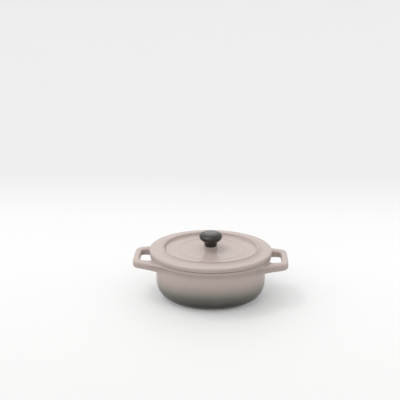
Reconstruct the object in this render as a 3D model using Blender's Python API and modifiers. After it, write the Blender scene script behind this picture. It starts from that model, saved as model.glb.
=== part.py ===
"""Mini cocotte: a small oval enamelled cast-iron pot with a lift-off lid and a screwed-on knob.

Metres, +Z up. The origin is the centre of the base, +X runs from handle to handle.
"""

import math

import bmesh
import bpy

MM = 0.001

# Clearances
SEAT_GAP = 0.3 * MM  # between pieces that rest on or bear against each other
RIB_CLEARANCE = 1.0 * MM  # all round the lid's locating rib, inside the pot's mouth
SCREW_CLEARANCE = 0.3 * MM  # all round the screw, in the lid, the washer and the insert

# Pot body
BODY_LENGTH = 109.0 * MM
BODY_WIDTH = 80.4 * MM
POT_HEIGHT = 46.0 * MM
WALL = 4.0 * MM
FLOOR = 5.0 * MM
BELLY_HEIGHT = 18.5 * MM  # where the upright wall begins to curve in
BASE_LENGTH = 84.0 * MM
BASE_WIDTH = 62.0 * MM
FOOT_HEIGHT = 0.8 * MM
FOOT_STEP = 0.8 * MM
FOOT_ROUNDING = 0.4 * MM

# Pot rim
RIM_OVERHANG = 4.7 * MM
RIM_DEPTH = 2.7 * MM
RIM_ROUNDING = 1.2 * MM
RIM_FILLET = 2.0 * MM
MOUTH_ROUNDING = 0.8 * MM

# Loop handles
HANDLE_REACH = 21.6 * MM  # from the end of the body
HANDLE_ROOT_WIDTH = 43.6 * MM
HANDLE_END_WIDTH = 35.0 * MM
HANDLE_THICKNESS = 7.4 * MM
HANDLE_DROP = 2.0 * MM  # from the top of the rim
HANDLE_CORNER = 6.5 * MM
HANDLE_ROOT_BLEND = 12.0 * MM
HANDLE_EDGE = 2.6 * MM
END_BAR = 6.6 * MM
SIDE_BAR = 6.4 * MM  # at the outer end of the finger opening
ROOT_BAR = 9.4 * MM  # at the end of the body
OPENING_CORNER = 6.5 * MM

# Lid
LID_OVERHANG = 1.3 * MM  # beyond the rim of the pot
LID_EDGE = 5.4 * MM  # height of the outer edge
LID_SHOULDER = 1.6 * MM  # rounding between the edge and the flange
LID_FOOT_ROUNDING = 1.2 * MM
FLANGE_RISE = 0.5 * MM  # from the edge to the inner side of the flange
PANEL_DROP = 0.8 * MM  # from the top of the outer edge down to the panel
LID_THICKNESS = 3.6 * MM
LID_RIB_DEPTH = 3.4 * MM
LID_RIB_THICKNESS = 2.6 * MM
LID_RIB_ROUNDING = 0.8 * MM
LID_RIB_FILLET = 1.2 * MM

# Rings on the lid, measured one after another along the lid's length from its end inwards
FLANGE_WIDTH = 8.3 * MM
FLANGE_BLEND = 4.0 * MM
RIDGE_OUTER_SLOPE = 5.0 * MM  # from the flange to the crest of the ridge
RIDGE_INNER_SLOPE = 3.7 * MM  # from the crest of the ridge to the panel
RIDGE_HEIGHT = 3.7 * MM  # above the panel, before rounding
RIDGE_ROUNDING = 2.5 * MM
RIDGE_FOOT_BLEND = 2.0 * MM
RING_SPACING = 9.0 * MM  # flat panel between the ridge and the inner ring
INNER_RING_WIDTH = 4.0 * MM
INNER_RING_HEIGHT = 0.45 * MM
INNER_RING_ROUNDING = 4.0 * MM

# Boss that carries the knob
BOSS_DIAMETER = 12.8 * MM
BOSS_HEIGHT = 4.0 * MM
BOSS_ROUNDING = 0.7 * MM
BOSS_FILLET = 0.8 * MM

# Knob
KNOB_DIAMETER = 22.8 * MM
KNOB_HEIGHT = 13.5 * MM
DOME_HEIGHT = 3.8 * MM  # from the widest line of the cap to its top
CAP_DEPTH = 6.5 * MM  # half height of the oval that the cap's lower side follows
NECK_FOOT_DIAMETER = 12.4 * MM
NECK_TOP_DIAMETER = 13.6 * MM
NECK_FOOT_ROUNDING = 0.5 * MM

# Screw, washer and threaded insert
SCREW_DIAMETER = 4.0 * MM
SCREW_ENGAGEMENT = 5.4 * MM  # of the screw in the insert
HEAD_DIAMETER = 8.0 * MM
HEAD_HEIGHT = 2.8 * MM
HEAD_ROUNDING = 1.4 * MM
TIP_CHAMFER = 0.5 * MM
WASHER_DIAMETER = 9.0 * MM
WASHER_THICKNESS = 0.8 * MM
INSERT_DIAMETER = 7.0 * MM
INSERT_LENGTH = 7.0 * MM
INSERT_GROOVE_WIDTH = 2.0 * MM
INSERT_GROOVE_DEPTH = 0.5 * MM

# Cutters reach this far past the faces they open
CUT_THROUGH = 2.0 * MM

# Fineness
OVAL_SIDES = 64
KNOB_SIDES = 36
HARDWARE_SIDES = 24
BELLY_STEPS = 6
DOME_STEPS = 6
ARC_STEP = math.radians(30)
HANDLE_ARC_STEP = math.radians(15)
HANDLE_EDGE_STEPS = 3
SHARP_ANGLE = math.radians(40)  # edges sharper than this stay crisp in the shading
WELD = 0.01 * MM

# Places that follow from the sizes above
BODY_OVAL = (BODY_LENGTH / 2, BODY_WIDTH / 2)
BASE_OVAL = (BASE_LENGTH / 2, BASE_WIDTH / 2)
RIM_OVAL = tuple(half + RIM_OVERHANG for half in BODY_OVAL)
LID_OVAL = tuple(half + LID_OVERHANG for half in RIM_OVAL)
MOUTH_OVAL = tuple(half - WALL for half in BODY_OVAL)
RIB_OVAL = tuple(half - RIB_CLEARANCE for half in MOUTH_OVAL)
LID_SEAT_Z = POT_HEIGHT + SEAT_GAP
EDGE_Z = LID_SEAT_Z + LID_EDGE
PANEL_Z = EDGE_Z - PANEL_DROP
UNDERSIDE_Z = PANEL_Z - LID_THICKNESS
BOSS_Z = PANEL_Z + BOSS_HEIGHT
KNOB_FOOT_Z = BOSS_Z + SEAT_GAP
KNOB_TOP_Z = KNOB_FOOT_Z + KNOB_HEIGHT
INSERT_Z = KNOB_FOOT_Z + SEAT_GAP
WASHER_TOP_Z = UNDERSIDE_Z - SEAT_GAP
HEAD_TOP_Z = WASHER_TOP_Z - WASHER_THICKNESS - SEAT_GAP
SCREW_TIP_Z = INSERT_Z + SCREW_ENGAGEMENT
SCREW_HOLE = SCREW_DIAMETER / 2 + SCREW_CLEARANCE
RIDGE_INSET = FLANGE_WIDTH + RIDGE_OUTER_SLOPE
RIDGE_FOOT_INSET = RIDGE_INSET + RIDGE_INNER_SLOPE
RING_START_INSET = RIDGE_FOOT_INSET + RING_SPACING
RING_END_INSET = RING_START_INSET + INNER_RING_WIDTH


def clear_scene():
    """Start from an empty scene."""
    for item in list(bpy.data.objects):
        bpy.data.objects.remove(item, do_unlink=True)


def collection(name):
    """A new collection in the scene."""
    made = bpy.data.collections.new(name)
    bpy.context.scene.collection.children.link(made)
    return made


def material(name, colour, roughness, metallic=0.0, coat=0.0):
    """A plain surface with a linear colour."""
    made = bpy.data.materials.new(name)
    made.use_nodes = True
    shader = made.node_tree.nodes["Principled BSDF"]
    shader.inputs["Base Color"].default_value = (*colour, 1.0)
    shader.inputs["Roughness"].default_value = roughness
    shader.inputs["Metallic"].default_value = metallic
    shader.inputs["Coat Weight"].default_value = coat
    return made


def rounded(corners, closed=False, arc_step=ARC_STEP):
    """Points of an outline whose corners are (u, v, radius), each sharp corner turned into an arc."""
    points = []
    count = len(corners)
    for index, (u, v, radius) in enumerate(corners):
        at_end = not closed and index in (0, count - 1)
        if radius == 0.0 or at_end:
            points.append((u, v))
            continue
        before = corners[index - 1]
        after = corners[(index + 1) % count]
        to_before = math.atan2(before[1] - v, before[0] - u)
        to_after = math.atan2(after[1] - v, after[0] - u)
        turn = (to_after - to_before + math.pi) % math.tau - math.pi
        half = abs(turn) / 2
        room = min(math.dist(before[:2], (u, v)), math.dist(after[:2], (u, v))) / 2
        reach = min(radius / math.tan(half), room)
        size = reach * math.tan(half)
        middle = to_before + turn / 2
        centre_u = u + math.cos(middle) * size / math.sin(half)
        centre_v = v + math.sin(middle) * size / math.sin(half)
        sweep = math.copysign(math.pi - abs(turn), turn)
        start = middle + math.pi + sweep / 2
        steps = math.ceil(abs(sweep) / arc_step)
        for step in range(steps + 1):
            angle = start - sweep * step / steps
            points.append((centre_u + size * math.cos(angle), centre_v + size * math.sin(angle)))
    return points


def grown(corners, distance):
    """A convex outline with every side moved outwards, or inwards when the distance is negative."""
    moved = []
    for index, (u, v, radius) in enumerate(corners):
        before = corners[index - 1]
        after = corners[(index + 1) % len(corners)]
        to_before = math.atan2(before[1] - v, before[0] - u)
        to_after = math.atan2(after[1] - v, after[0] - u)
        turn = (to_after - to_before + math.pi) % math.tau - math.pi
        reach = distance / math.sin(abs(turn) / 2)
        inwards = to_before + turn / 2
        moved.append((u - reach * math.cos(inwards), v - reach * math.sin(inwards), radius + distance))
    return moved


def oval_ring(half_x, half_y, height):
    """Points round an oval."""
    angles = [math.tau * side / OVAL_SIDES for side in range(OVAL_SIDES)]
    return [(half_x * math.cos(angle), half_y * math.sin(angle), height) for angle in angles]


def oval_rings(oval, section):
    """Ovals set in from a given one, from a section of (inset, height) points."""
    return [oval_ring(oval[0] - inset, oval[1] - inset, height) for inset, height in section]


def similar_rings(oval, section):
    """Ovals of a given one's proportions, from a section of (inset along its length, height) points."""
    return [oval_ring(oval[0] - inset, oval[1] * (1 - inset / oval[0]), height) for inset, height in section]


def add_object(name, mesh, group, surface=None):
    """An object for a finished mesh, shaded smooth except along its sharp edges."""
    made = bpy.data.objects.new(name, mesh)
    group.objects.link(made)
    if surface:
        mesh.materials.append(surface)
        mesh.shade_smooth()
        mesh.set_sharp_from_angle(angle=SHARP_ANGLE)
    return made


def helper(item):
    """Keep a cutting or joining shape out of the finished object."""
    item.hide_render = True
    item.display_type = "WIRE"
    return item


def skin(name, rings, group, surface=None, ring_shaped=False):
    """A skin drawn through rings of points, closed by flat ends or, when ring shaped, back to its start."""
    shape = bmesh.new()
    loops = [[shape.verts.new(point) for point in ring] for ring in rings]
    if ring_shaped:
        loops.append(loops[0])
    else:
        shape.faces.new(loops[0])
        shape.faces.new(loops[-1])
    for loop, following in zip(loops, loops[1:]):
        for index in range(len(loop)):
            shape.faces.new((loop[index - 1], loop[index], following[index], following[index - 1]))
    bmesh.ops.recalc_face_normals(shape, faces=shape.faces)
    mesh = bpy.data.meshes.new(name)
    shape.to_mesh(mesh)
    shape.free()
    return add_object(name, mesh, group, surface)


def turned(name, section, sides, group, surface, ring_shaped=False):
    """A body turned about Z from a section of (radius, height) points that runs from top to bottom."""
    mesh = bpy.data.meshes.new(name)
    count = len(section)
    links = [(index, (index + 1) % count) for index in range(count if ring_shaped else count - 1)]
    mesh.from_pydata([(radius, 0.0, height) for radius, height in section], links, [])
    made = add_object(name, mesh, group)
    mesh.materials.append(surface)
    spin = made.modifiers.new("turn", "SCREW")
    spin.axis = "Z"
    spin.angle = math.tau
    spin.steps = sides
    spin.render_steps = sides
    spin.use_merge_vertices = True
    spin.merge_threshold = WELD
    spin.use_smooth_shade = True
    return made


def boolean(target, operation, other):
    """Join another shape to the target, or cut it away."""
    step = target.modifiers.new(other.name, "BOOLEAN")
    step.operation = operation
    step.object = other


def belly(bottom, wall):
    """Ovals of the rounded belly at a distance inside the pot's outside, from the lowest one up."""
    rings = []
    for step in range(BELLY_STEPS + 1):
        angle = math.pi / 2 * step / BELLY_STEPS
        halves = [base + (body - base) * math.sin(angle) - wall for base, body in zip(BASE_OVAL, BODY_OVAL)]
        rings.append(oval_ring(*halves, bottom + (BELLY_HEIGHT - bottom) * (1 - math.cos(angle))))
    return rings


def pot_outside():
    """Ovals of the pot's outside, from the base to the top of the rim."""
    foot = rounded(
        [
            (2 * FOOT_STEP, 0.0, 0.0),
            (FOOT_STEP, 0.0, FOOT_ROUNDING),
            (FOOT_STEP, FOOT_HEIGHT, 0.0),
        ]
    )
    under_rim = POT_HEIGHT - RIM_DEPTH
    upper = rounded(
        [
            (0.0, BELLY_HEIGHT, 0.0),
            (0.0, under_rim, RIM_FILLET),
            (-RIM_OVERHANG, under_rim, RIM_ROUNDING),
            (-RIM_OVERHANG, POT_HEIGHT, RIM_ROUNDING),
            (WALL / 2, POT_HEIGHT, 0.0),
        ]
    )
    return oval_rings(BASE_OVAL, foot) + belly(FOOT_HEIGHT, 0.0) + oval_rings(BODY_OVAL, upper[1:])


def pot_inside():
    """Ovals of the pot's hollow, from the floor to above the rim."""
    mouth = rounded(
        [
            (WALL, BELLY_HEIGHT, 0.0),
            (WALL, POT_HEIGHT, MOUTH_ROUNDING),
            (0.0, POT_HEIGHT, 0.0),
        ]
    )[1:-1]
    mouth.append((mouth[-1][0], POT_HEIGHT + CUT_THROUGH))
    return belly(FLOOR, WALL) + oval_rings(BODY_OVAL, mouth)


def handle_corners():
    """Corners of the outline of both loop handles, as one plate that runs through the body."""
    quarter = [
        (BODY_OVAL[0], HANDLE_ROOT_WIDTH / 2, HANDLE_ROOT_BLEND),
        (BODY_OVAL[0] + HANDLE_REACH, HANDLE_END_WIDTH / 2, HANDLE_CORNER),
    ]
    right = quarter + [(x, -y, radius) for x, y, radius in reversed(quarter)]
    return right + [(-x, -y, radius) for x, y, radius in right]


def opening_corners(side):
    """Corners of a handle's finger opening on the right (1) or the left (-1), from inside the wall out."""
    (root, root_half, _), (end, end_half, _) = handle_corners()[:2]
    outer = end - END_BAR
    inner = MOUTH_OVAL[0] - OPENING_CORNER
    bar_narrowing = (root_half - end_half) / (end - root)
    outer_half = root_half - bar_narrowing * (outer - root) - SIDE_BAR
    narrowing = (root_half - ROOT_BAR - outer_half) / (outer - root)
    inner_half = outer_half + narrowing * (outer - inner)
    corners = [(inner, inner_half), (outer, outer_half), (outer, -outer_half), (inner, -inner_half)]
    return [(side * x, side * y, OPENING_CORNER) for x, y in corners]


def handle_rings(corners, sections):
    """Rings of a handle's outline, each grown by a distance and set at a height."""
    rings = []
    for distance, height in sections:
        outline = rounded(grown(corners, distance), closed=True, arc_step=HANDLE_ARC_STEP)
        rings.append([(u, v, height) for u, v in outline])
    return rings


def handle_plate(group):
    """Both loop handles as one flat casting with rounded edges, which the pot's body then swallows."""
    upper = POT_HEIGHT - HANDLE_DROP
    lower = upper - HANDLE_THICKNESS
    angles = [math.pi / 2 * step / HANDLE_EDGE_STEPS for step in range(HANDLE_EDGE_STEPS + 1)]
    edge = [(HANDLE_EDGE * (1 - math.sin(a)), HANDLE_EDGE * (1 - math.cos(a))) for a in angles]
    side = [(away, lower + rise) for away, rise in edge]
    side += [(away, upper - rise) for away, rise in reversed(edge)]
    bar = [(-away, height) for away, height in side]
    flare = [(HANDLE_EDGE, lower - CUT_THROUGH), *side, (HANDLE_EDGE, upper + CUT_THROUGH)]
    plate = helper(skin("handle_plate", handle_rings(handle_corners(), bar), group))
    for name, direction in (("right_opening", 1), ("left_opening", -1)):
        opening = skin(name, handle_rings(opening_corners(direction), flare), group)
        boolean(plate, "DIFFERENCE", helper(opening))
    return plate


def make_pot(parts, cutters):
    """The pot: body, rim and loop handles in one casting, then hollowed."""
    enamel = material("pot_enamel", (0.42, 0.36, 0.32), 0.25, coat=0.5)
    pot = skin("pot", pot_outside(), parts, enamel)
    hollow = skin("pot_hollow", pot_inside(), cutters)
    boolean(pot, "UNION", handle_plate(cutters))
    boolean(pot, "DIFFERENCE", helper(hollow))


def lid_rings():
    """Ovals of the lid, from the panel's underside round the edge and over the ridge to the inner ring."""
    rib = LID_OVAL[0] - RIB_OVAL[0]
    rib_inner = rib + LID_RIB_THICKNESS
    rib_z = LID_SEAT_Z - LID_RIB_DEPTH
    flange_middle = (FLANGE_WIDTH / 2, EDGE_Z + FLANGE_RISE / 2, 0.0)
    ring_middle = RING_START_INSET + INNER_RING_WIDTH / 2
    edge = rounded(
        [
            (RING_END_INSET, UNDERSIDE_Z, 0.0),
            (rib_inner, UNDERSIDE_Z, LID_RIB_FILLET),
            (rib_inner, rib_z, LID_RIB_ROUNDING),
            (rib, rib_z, LID_RIB_ROUNDING),
            (rib, LID_SEAT_Z, 0.0),
            (0.0, LID_SEAT_Z, LID_FOOT_ROUNDING),
            (0.0, EDGE_Z, LID_SHOULDER),
            flange_middle,
        ]
    )
    top = rounded(
        [
            flange_middle,
            (FLANGE_WIDTH, EDGE_Z + FLANGE_RISE, FLANGE_BLEND),
            (RIDGE_INSET, PANEL_Z + RIDGE_HEIGHT, RIDGE_ROUNDING),
            (RIDGE_FOOT_INSET, PANEL_Z, RIDGE_FOOT_BLEND),
            (RING_START_INSET, PANEL_Z, 0.0),
            (ring_middle, PANEL_Z + INNER_RING_HEIGHT, INNER_RING_ROUNDING),
            (RING_END_INSET, PANEL_Z, 0.0),
        ]
    )
    return oval_rings(LID_OVAL, edge[:-1]) + similar_rings(LID_OVAL, top)


def boss_section():
    """Round part of the lid's section: the boss and the screw hole, as (radius, height) points."""
    radius = BOSS_DIAMETER / 2
    return rounded(
        [
            (radius + 2 * BOSS_FILLET, PANEL_Z, 0.0),
            (radius, PANEL_Z, BOSS_FILLET),
            (radius, BOSS_Z, BOSS_ROUNDING),
            (SCREW_HOLE, BOSS_Z, 0.0),
            (SCREW_HOLE, UNDERSIDE_Z, 0.0),
        ]
    )


def make_lid(parts):
    """The lid: flange, rings, panel, boss and locating rib in one casting."""
    enamel = material("lid_enamel", (0.55, 0.48, 0.44), 0.2, coat=0.5)
    centre = [oval_ring(radius, radius, height) for radius, height in boss_section()]
    return skin("lid", lid_rings() + centre, parts, enamel, ring_shaped=True)


def insert_side():
    """Outer side of the threaded insert with its holding groove, from top to bottom."""
    radius = INSERT_DIAMETER / 2
    top = INSERT_Z + INSERT_LENGTH
    middle = INSERT_Z + INSERT_LENGTH / 2
    half = INSERT_GROOVE_WIDTH / 2
    neck = radius - INSERT_GROOVE_DEPTH
    return [
        (radius, top),
        (radius, middle + half),
        (neck, middle + half),
        (neck, middle - half),
        (radius, middle - half),
        (radius, INSERT_Z),
    ]


def make_knob(parts):
    """The knob: a domed cap on a short neck, moulded round the insert."""
    phenolic = material("knob_phenolic", (0.03, 0.03, 0.03), 0.35)
    cap = KNOB_DIAMETER / 2
    widest = KNOB_TOP_Z - DOME_HEIGHT
    neck = NECK_TOP_DIAMETER / 2
    meets_neck = math.acos(neck / cap)
    section = []
    for step in range(DOME_STEPS + 1):
        angle = math.pi / 2 * (1 - step / DOME_STEPS)
        section.append((cap * math.cos(angle), widest + DOME_HEIGHT * math.sin(angle)))
    for step in range(1, DOME_STEPS + 1):
        angle = meets_neck * step / DOME_STEPS
        section.append((cap * math.cos(angle), widest - CAP_DEPTH * math.sin(angle)))
    bore = INSERT_DIAMETER / 2 + SEAT_GAP
    section += rounded(
        [
            (neck, section[-1][1], 0.0),
            (NECK_FOOT_DIAMETER / 2, KNOB_FOOT_Z, NECK_FOOT_ROUNDING),
            (bore, KNOB_FOOT_Z, 0.0),
        ]
    )[1:]
    middle = INSERT_Z + INSERT_LENGTH / 2
    key = bore - INSERT_GROOVE_DEPTH
    key_half = INSERT_GROOVE_WIDTH / 2 - SEAT_GAP
    bore_top = INSERT_Z + INSERT_LENGTH + SEAT_GAP
    section += [
        (bore, middle - key_half),
        (key, middle - key_half),
        (key, middle + key_half),
        (bore, middle + key_half),
        (bore, bore_top),
        (0.0, bore_top),
    ]
    return turned("knob", section, KNOB_SIDES, parts, phenolic)


def make_insert(parts):
    """The brass insert that the screw goes into."""
    brass = material("insert_brass", (0.72, 0.5, 0.2), 0.3, metallic=1.0)
    side = insert_side()
    section = side + [(SCREW_HOLE, INSERT_Z), (SCREW_HOLE, side[0][1])]
    return turned("knob_insert", section, HARDWARE_SIDES, parts, brass, ring_shaped=True)


def make_screw(parts):
    """The pan-head screw that holds the knob from inside the lid."""
    steel = material("screw_steel", (0.6, 0.6, 0.58), 0.3, metallic=1.0)
    radius = SCREW_DIAMETER / 2
    head = HEAD_DIAMETER / 2
    bottom = HEAD_TOP_Z - HEAD_HEIGHT
    section = rounded(
        [
            (0.0, SCREW_TIP_Z, 0.0),
            (radius - TIP_CHAMFER, SCREW_TIP_Z, 0.0),
            (radius, SCREW_TIP_Z - TIP_CHAMFER, 0.0),
            (radius, HEAD_TOP_Z, 0.0),
            (head, HEAD_TOP_Z, 0.0),
            (head, bottom, HEAD_ROUNDING),
            (0.0, bottom, 0.0),
        ]
    )
    return turned("knob_screw", section, HARDWARE_SIDES, parts, steel)


def make_washer(parts):
    """The plain washer between the screw's head and the lid."""
    steel = material("washer_steel", (0.6, 0.6, 0.58), 0.35, metallic=1.0)
    outer = WASHER_DIAMETER / 2
    bottom = WASHER_TOP_Z - WASHER_THICKNESS
    section = [(outer, WASHER_TOP_Z), (outer, bottom), (SCREW_HOLE, bottom), (SCREW_HOLE, WASHER_TOP_Z)]
    return turned("screw_washer", section, HARDWARE_SIDES, parts, steel, ring_shaped=True)


def lift_axis(group, riders):
    """An empty on the line along which the lid lifts off, carrying the lid and its knob."""
    axis = bpy.data.objects.new("lid_lift", None)
    axis.location.z = LID_SEAT_Z
    group.objects.link(axis)
    bpy.context.view_layer.update()
    for rider in riders:
        rider.parent = axis
        rider.matrix_parent_inverse = axis.matrix_world.inverted()


def main():
    """Build every piece of the cocotte."""
    clear_scene()
    parts = collection("mini_cocotte")
    cutters = collection("cutters")
    make_pot(parts, cutters)
    lid = make_lid(parts)
    fittings = [make_knob(parts), make_insert(parts), make_screw(parts), make_washer(parts)]
    lift_axis(parts, [lid, *fittings])


main()
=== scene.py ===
"""Looks of a mini cocotte: enamelled castings, a black knob and its fastening, on a pale studio sweep.

Metres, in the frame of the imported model: +X runs from handle to handle, +Z up through the knob.
"""

import logging
import math
from collections.abc import Sequence
from dataclasses import dataclass, field
from enum import Enum

import bmesh
import bpy
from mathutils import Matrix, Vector


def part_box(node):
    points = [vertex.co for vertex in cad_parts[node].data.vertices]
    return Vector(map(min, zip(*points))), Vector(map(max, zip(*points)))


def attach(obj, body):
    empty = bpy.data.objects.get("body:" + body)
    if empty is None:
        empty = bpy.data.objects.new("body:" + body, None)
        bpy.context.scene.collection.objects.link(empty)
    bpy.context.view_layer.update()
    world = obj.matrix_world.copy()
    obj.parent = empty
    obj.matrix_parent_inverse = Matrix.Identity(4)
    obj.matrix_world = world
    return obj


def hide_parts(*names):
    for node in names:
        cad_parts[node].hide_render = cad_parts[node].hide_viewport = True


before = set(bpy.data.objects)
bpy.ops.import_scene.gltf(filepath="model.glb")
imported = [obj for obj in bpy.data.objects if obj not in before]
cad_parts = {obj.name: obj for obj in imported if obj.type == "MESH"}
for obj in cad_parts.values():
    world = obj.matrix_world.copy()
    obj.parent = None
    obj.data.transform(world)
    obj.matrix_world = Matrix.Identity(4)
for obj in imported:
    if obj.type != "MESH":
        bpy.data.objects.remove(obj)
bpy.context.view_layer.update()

MM = 0.001
WELD = 1e-6
OVAL_SIDES = 64
ROUND_SIDES = 32
ARC_STEPS = 3
SHARP_ANGLE = math.radians(35)
NOISE_MEAN = 0.5
UPWARD = 0.5
LABELS = ("ring", "column")
LIP_RISE = 1.1 * MM
LIP_RUN = 0.3 * MM

Point = tuple[float, float]
Triple = tuple[float, float, float]
Colour = Triple
Stops = tuple[tuple[float, Colour], ...]
Value = "Shade | float | Colour | tuple[float, ...]"
Item = bpy.types.Object

log = logging.getLogger("cocotte")


class Body(Enum):
    """The two bodies that the pieces ride on."""

    POT = "pot"
    LID = "lid"


class Zone(Enum):
    """The zones of a casting, in the order of its finishes."""

    OUTSIDE = 0
    SEAT = 1
    INSIDE = 2


class Ends(Enum):
    """How a piece's first and last ring are closed, with the fill of the first."""

    CAPPED = "NGON"
    JOINED = "NOTHING"


@dataclass(frozen=True)
class Ring:
    """An oval ring of a casting: its half length, half width and height."""

    half_x: float
    half_y: float
    height: float

    @classmethod
    def inset(cls, oval: Point, inset: float, height: float) -> "Ring":
        """A ring at the same distance inside an oval all round."""
        return cls(oval[0] - inset, oval[1] - inset, height)

    @classmethod
    def similar(cls, oval: Point, inset: float, height: float) -> "Ring":
        """A ring of an oval's proportions, with the inset measured along its length."""
        return cls(oval[0] - inset, oval[1] * (1.0 - inset / oval[0]), height)

    @classmethod
    def round(cls, radius: float, height: float) -> "Ring":
        """A round ring."""
        return cls(radius, radius, height)

    @classmethod
    def turned(cls, section: Sequence[Point]) -> list["Ring"]:
        """Round rings through a section of (radius, height) points."""
        return [cls.round(*point) for point in section]

    def towards(self, other: "Ring", share: float) -> "Ring":
        """A ring part of the way to another one."""
        return Ring(
            self.half_x + share * (other.half_x - self.half_x),
            self.half_y + share * (other.half_y - self.half_y),
            self.height + share * (other.height - self.height),
        )


def rounded(*corners: Triple, steps: int = ARC_STEPS) -> list[Point]:
    """Draw a section line whose inner corners are arcs.

    Args:
        corners: Corners as (across, height, radius); the first and last stay plain.
        steps: Straight steps in each arc.

    Returns:
        The points of the line, in order.
    """
    points = [corners[0][:2]]
    for before, (u, v, radius), after in zip(corners, corners[1:], corners[2:]):
        if radius == 0.0:
            points.append((u, v))
            continue
        to_before = math.atan2(before[1] - v, before[0] - u)
        to_after = math.atan2(after[1] - v, after[0] - u)
        turn = (to_after - to_before + math.pi) % math.tau - math.pi
        half = abs(turn) / 2
        room = min(math.dist(before[:2], (u, v)), math.dist(after[:2], (u, v))) / 2
        radius = min(radius, room * math.tan(half))
        middle = to_before + turn / 2
        centre_u = u + math.cos(middle) * radius / math.sin(half)
        centre_v = v + math.sin(middle) * radius / math.sin(half)
        sweep = math.copysign(math.pi - abs(turn), turn)
        start = middle + math.pi + sweep / 2
        for step in range(steps + 1):
            angle = start - sweep * step / steps
            points.append((centre_u + radius * math.cos(angle), centre_v + radius * math.sin(angle)))
    points.append(corners[-1][:2])
    return points


def pick(item: Item | None = None) -> None:
    """Leave edit mode, and select one object alone or nothing.

    Args:
        item: The object, which becomes the active one.
    """
    if bpy.context.object and bpy.context.object.mode != "OBJECT":
        bpy.ops.object.mode_set(mode="OBJECT")
    bpy.ops.object.select_all(action="DESELECT")
    if item:
        item.select_set(True)
        bpy.context.view_layer.objects.active = item


def apply_modifier(item: Item, kind: str, **settings: object) -> None:
    """Add a modifier to an object and apply it.

    Args:
        item: The object.
        kind: The modifier's type.
        settings: Values for the modifier.
    """
    pick(item)
    bpy.ops.object.modifier_add(type=kind)
    modifier = item.modifiers[-1]
    for name, value in settings.items():
        setattr(modifier, name, value)
    bpy.ops.object.modifier_apply(modifier=modifier.name)


class Bench:
    """Shapes one mesh in edit mode, ring by ring, as by hand."""

    def __init__(self, name: str, rings: Sequence[Ring], sides: int, ends: Ends) -> None:
        """Add the circle that the piece starts from, extrude it through its rings and close it.

        Args:
            name: Name of the piece.
            rings: Sizes and heights of the rings.
            sides: Number of points round each ring.
            ends: How the first and the last ring are closed.
        """
        pick()
        bpy.ops.mesh.primitive_circle_add(vertices=sides, radius=1.0, fill_type=ends.value)
        self.item = bpy.context.object
        self.item.name = name
        self.item.data.name = name
        self.sides = sides
        self.rings = [rings[0]]
        bpy.ops.object.mode_set(mode="EDIT")
        bpy.ops.mesh.select_all(action="SELECT")
        bpy.ops.transform.resize(value=(rings[0].half_x, rings[0].half_y, 1.0))
        bpy.ops.transform.translate(value=(0.0, 0.0, rings[0].height))
        mesh = self.edited()
        for label in LABELS:
            mesh.verts.layers.int.new(label)
        for ring in rings[1:]:
            self.grow(ring)
        if ends is Ends.CAPPED:
            bpy.ops.mesh.edge_face_add()
        else:
            self.join_to_start()

    def edited(self) -> bmesh.types.BMesh:
        """The mesh as it is being edited."""
        return bmesh.from_edit_mesh(self.item.data)

    def labelled(self) -> tuple[bmesh.types.BMesh, bmesh.types.BMLayerItem, bmesh.types.BMLayerItem]:
        """The mesh as it is being edited, and its points' ring and column numbers."""
        mesh = self.edited()
        return mesh, *(mesh.verts.layers.int[label] for label in LABELS)

    def grow(self, ring: Ring) -> None:
        """Extrude the open loop to the next ring.

        Args:
            ring: Size and height of the new ring.
        """
        last = self.rings[-1]
        rise = (0.0, 0.0, ring.height - last.height)
        bpy.ops.mesh.extrude_edges_move(TRANSFORM_OT_translate={"value": rise})
        stretch = (ring.half_x / last.half_x, ring.half_y / last.half_y, 1.0)
        bpy.ops.transform.resize(value=stretch, center_override=(0.0, 0.0, ring.height))
        self.rings.append(ring)
        mesh, ring_of, _ = self.labelled()
        for vert in mesh.verts:
            if vert.select:
                vert[ring_of] = len(self.rings) - 1

    def join_to_start(self) -> None:
        """Bring the open loop back to the first ring and weld the two."""
        self.grow(self.rings[0])
        bpy.ops.mesh.select_all(action="SELECT")
        bpy.ops.mesh.remove_doubles(threshold=WELD)
        mesh, ring_of, _ = self.labelled()
        for vert in mesh.verts:
            vert[ring_of] %= len(self.rings) - 1

    def paint(self, first: int, zone: Zone) -> None:
        """Count every band from one ring onwards to a zone.

        Args:
            first: Number of the ring where the zone begins.
            zone: The zone.
        """
        mesh, ring_of, _ = self.labelled()
        for face in mesh.faces:
            numbers = [vert[ring_of] for vert in face.verts]
            closing = max(numbers) - min(numbers) > 1
            if (max(numbers) if closing else min(numbers)) >= first:
                face.material_index = zone.value
        bmesh.update_edit_mesh(self.item.data)

    def keep_quarter(self) -> None:
        """Cut away all but the quarter at +X, +Y."""
        for normal in ((1.0, 0.0, 0.0), (0.0, 1.0, 0.0)):
            bpy.ops.mesh.select_all(action="SELECT")
            bpy.ops.mesh.bisect(
                plane_co=(0.0, 0.0, 0.0), plane_no=normal, clear_inner=True, threshold=WELD
            )

    def smooth(self, levels: int, sharp: bool = False) -> Item:
        """Turn the cage into the finished smooth surface.

        Args:
            levels: Levels of subdivision.
            sharp: Whether the piece stays sharp along its edges.

        Returns:
            The finished object.
        """
        apply_modifier(self.item, "SUBSURF", levels=levels, render_levels=levels)
        bpy.ops.object.mode_set(mode="EDIT")
        bpy.ops.mesh.select_all(action="SELECT")
        bpy.ops.mesh.normals_make_consistent(inside=False)
        pick(self.item)
        for label in LABELS:
            self.item.data.attributes.remove(self.item.data.attributes[label])
        bpy.ops.object.shade_smooth()
        if sharp:
            bpy.ops.object.shade_smooth_by_angle(angle=SHARP_ANGLE)
        pick()
        return self.item


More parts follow.
